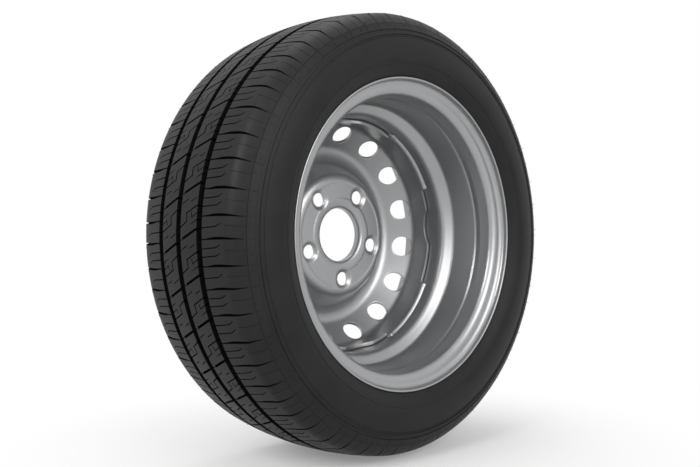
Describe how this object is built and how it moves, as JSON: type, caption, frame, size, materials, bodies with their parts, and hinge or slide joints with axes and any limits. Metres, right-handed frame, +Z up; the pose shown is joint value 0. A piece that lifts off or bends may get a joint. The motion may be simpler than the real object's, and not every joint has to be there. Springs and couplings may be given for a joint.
{
  "type": "wheel and tyre assembly",
  "caption": "Pressed steel trailer wheel: rolled drop-centre rim, dished vented disc with a bolted hub face, tubeless ribbed tyre and a snap-in valve.",
  "frame": {"origin": "on the spin axis at the middle of the rim's width, which is also the middle of the tyre", "axes": "+Y along the spin axis towards the outboard side, +Z up, hub side facing -Y"},
  "size_m": [0.5246, 0.196, 0.5246],
  "materials": {
    "wheel_paint": "satin silver paint",
    "weld_paint": "satin silver paint",
    "tyre_rubber": "matt moulded rubber",
    "valve_rubber": "matt moulded rubber",
    "brass": "turned, dull",
    "seal_polymer": "smooth",
    "spring_steel": "drawn wire",
    "cap_plastic": "moulded, matt"
  },
  "bodies": {
    "wheel": {"rim": "wheel_paint", "disc": "wheel_paint", "disc_welds": "weld_paint", "tyre": "tyre_rubber", "valve_boot": "valve_rubber", "valve_stem": "brass", "core_plug": "brass", "core_barrel": "brass", "core_seal": "seal_polymer", "core_spring": "spring_steel"},
    "core_pin": {"core_pin": "brass", "core_cup": "valve_rubber"},
    "valve_cap": {"valve_cap": "cap_plastic", "cap_seal": "valve_rubber"}
  },
  "joints": [
    {"name": "core_pin_press", "type": "slide", "parent": "wheel", "child": "core_pin", "axis": [-0.7063, -0.7059, -0.0537], "range_m": [0, 0.0015], "stiffness_N_per_m": 1500, "springref_m": -0.002, "deforming": ["core_spring"]},
    {"name": "valve_cap_removal", "type": "slide", "parent": "wheel", "child": "valve_cap", "axis": [0.7063, 0.7059, 0.0537], "range_m": [0, 0.012]}
  ]
}
